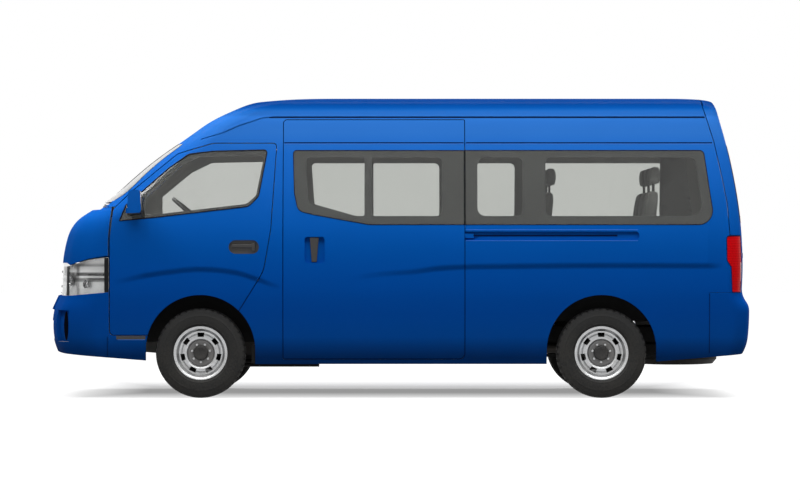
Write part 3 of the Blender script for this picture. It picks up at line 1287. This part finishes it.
# Pan, recliner covers and headrest stems that belong to every seat.
frame_black = toned("seat_frame_black", (0.02, 0.02, 0.02), 0.4, 40.0,
                    (0.017, 0.017, 0.018), (0.028, 0.028, 0.028))
grained(*inside(frame_black), 500.0, 0.1)
hardware = [rounded_block((CUSHION_X, 0, 0.0055), (0.40, 0.40, 0.010), 0.003, 2)]
for side in (-1, 1):
    bpy.ops.mesh.primitive_cylinder_add(vertices=28, radius=0.042, depth=0.010, rotation=(math.pi / 2, 0, 0),
                                        location=(-0.006, side * 0.2255, 0.075))
    hardware.append(bpy.context.object)
    add_modifier(hardware[-1], "BEVEL", width=0.003, segments=2, limit_method="ANGLE")
    bpy.ops.mesh.primitive_cylinder_add(vertices=14, radius=0.006, depth=0.072,
                                        location=(0.080, side * 0.060, 0.694))
    hardware.append(bpy.context.object)
hardware = joined_as_one(hardware)
bpy.ops.object.shade_smooth_by_angle(angle=math.radians(35))


def repeated(pattern, places, name, body, slot, *finishes):
    """Copies a pattern to each place and joins the copies as one piece."""
    copies = []
    for place in places:
        copy = copied(pattern)
        copy.location = Vector(place) + pattern.location
        copies.append(copy)
    fix_place(copies)
    return settle(joined_as_one(copies), name, body, slot, *finishes)


# Group, node that its pads replace, places of the cushions' rear edges, side of each foot, and
# height of the floor that the feet are bolted to.
SEATS = (
    ("front", "front_seats", ((-1.010, -0.400, 0.870), (-1.010, 0.400, 0.870)), (-0.400, 0.400), 0.8303),
    ("passenger", "passenger_seats",
     ((0.390, -0.130, 0.860), (0.390, 0.360, 0.860), (1.040, -0.130, 0.860), (1.040, 0.360, 0.860),
      (1.790, -0.610, 0.860), (1.790, -0.130, 0.860), (1.790, 0.350, 0.860)),
     (-0.130, 0.360, -0.130, 0.360, -0.540, -0.130, 0.350), 0.5803),
)
for group, node, places, feet, floor_z in SEATS:
    for pattern, label, fill in ((cushion, "_cushions", 0.7), (backrest, "_backrests", 0.7),
                                 (headrest, "_headrests", 0.8)):
        pad = repeated(pattern, places, group + label, "body", "seat_cloth")
        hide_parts(node)
    for pattern, label in ((cushion_cord, "_cushion_cords"), (backrest_cord, "_backrest_cords")):
        repeated(pattern, places, group + label, "body", "seat_cloth", side_cloth)
    repeated(hardware, places, group + "_seat_frames", "body", "black_plastic", frame_black)
    legs = []
    for (x, y, z), foot in zip(places, feet):
        tall = z - floor_z
        plate_z = floor_z + 0.004
        plate = rounded_block((x + CUSHION_X, foot, plate_z), (0.34, 0.118, 0.0075), 0.002, 2)
        post = rounded_block((x + CUSHION_X, foot, plate_z + tall / 2), (0.24, 0.070, tall - 0.006), 0.008, 2)
        legs += [plate, post]
    settle(joined_as_one(legs), group + "_seat_legs", "body", "black_plastic", frame_black)
for pattern in (cushion, backrest, headrest, cushion_cord, backrest_cord, hardware):
    bpy.data.objects.remove(pattern)

# ---- studio ----
# A pale matt floor under a white surround, lit by four broad soft lamps overhead. The floor
# shows white beyond the shadow, and neither floor nor surround lights the object as brightly
# as it shows.
def in_view(tree):
    """1 for a ray from the camera, straight or by way of a mirror or glass, and 0 for the rest."""
    path = tree.nodes.new("ShaderNodeLightPath")
    carried = math_node(tree, "MAXIMUM", path.outputs["Is Glossy Ray"], path.outputs["Is Transmission Ray"])
    return math_node(tree, "MAXIMUM", path.outputs["Is Camera Ray"], carried)


bpy.ops.mesh.primitive_plane_add(size=120, location=(0, 0, 0))
ground = bpy.context.object
ground.name = "studio_floor"
ground_material = toned("studio_floor", (0.25, 0.25, 0.25), 0.9, 0.4, (0.24, 0.24, 0.24), (0.26, 0.26, 0.26),
                        specular=0.0)
ground_tree, ground_shader = inside(ground_material)
ground_shader.inputs["Emission Color"].default_value = (1, 1, 1, 1)
ground_xyz = axes_of(ground_tree)
beyond_ends = spread(ground_tree, math_node(ground_tree, "ABSOLUTE", ground_xyz["X"], 0.0), 1.95, 2.65)
beyond_sides = math_node(ground_tree, "MAXIMUM", spread(ground_tree, ground_xyz["Y"], 1.2, 3.0),
                         spread(ground_tree, ground_xyz["Y"], 0.1, -1.3))
glow = spread(ground_tree, math_node(ground_tree, "MAXIMUM", beyond_ends, beyond_sides), 0.0, 1.0, 0.31, 1.0)
ground_tree.links.new(math_node(ground_tree, "MULTIPLY", in_view(ground_tree), glow),
                      ground_shader.inputs["Emission Strength"])
ground.data.materials.append(ground_material)

world = bpy.data.worlds.new("studio_world")
bpy.context.scene.world = world
world.use_nodes = True
world_tree = world.node_tree
sky = world_tree.nodes["Background"]
sky.inputs["Color"].default_value = (1, 1, 1, 1)
world_tree.links.new(spread(world_tree, in_view(world_tree), 0.0, 1.0, 0.20, 1.0), sky.inputs["Strength"])


def soft_lamp(name, place, target, width, height, power):
    data = bpy.data.lights.new(name, "AREA")
    data.shape = "RECTANGLE"
    data.size = width
    data.size_y = height
    data.energy = power
    lamp = bpy.data.objects.new(name, data)
    lamp.location = place
    lamp.rotation_euler = (Vector(target) - Vector(place)).to_track_quat("-Z", "Y").to_euler()
    bpy.context.scene.collection.objects.link(lamp)
    lamp.visible_camera = False


soft_lamp("lamp_near_side", (0, -2.3, 4.6), (0, -0.9, 1.2), 9, 1.6, 300)
soft_lamp("lamp_far_side", (0, 2.3, 4.6), (0, 0.9, 1.2), 9, 1.6, 300)
soft_lamp("lamp_front", (-4.6, 0, 4.6), (-2.4, 0, 1.0), 5, 1.6, 52)
soft_lamp("lamp_tail", (4.6, 0, 4.6), (2.4, 0, 1.0), 5, 1.6, 90)

bpy.data.objects.remove(near_wall)
scene = bpy.context.scene
scene.view_settings.view_transform = "Standard"
bpy.context.view_layer.update()
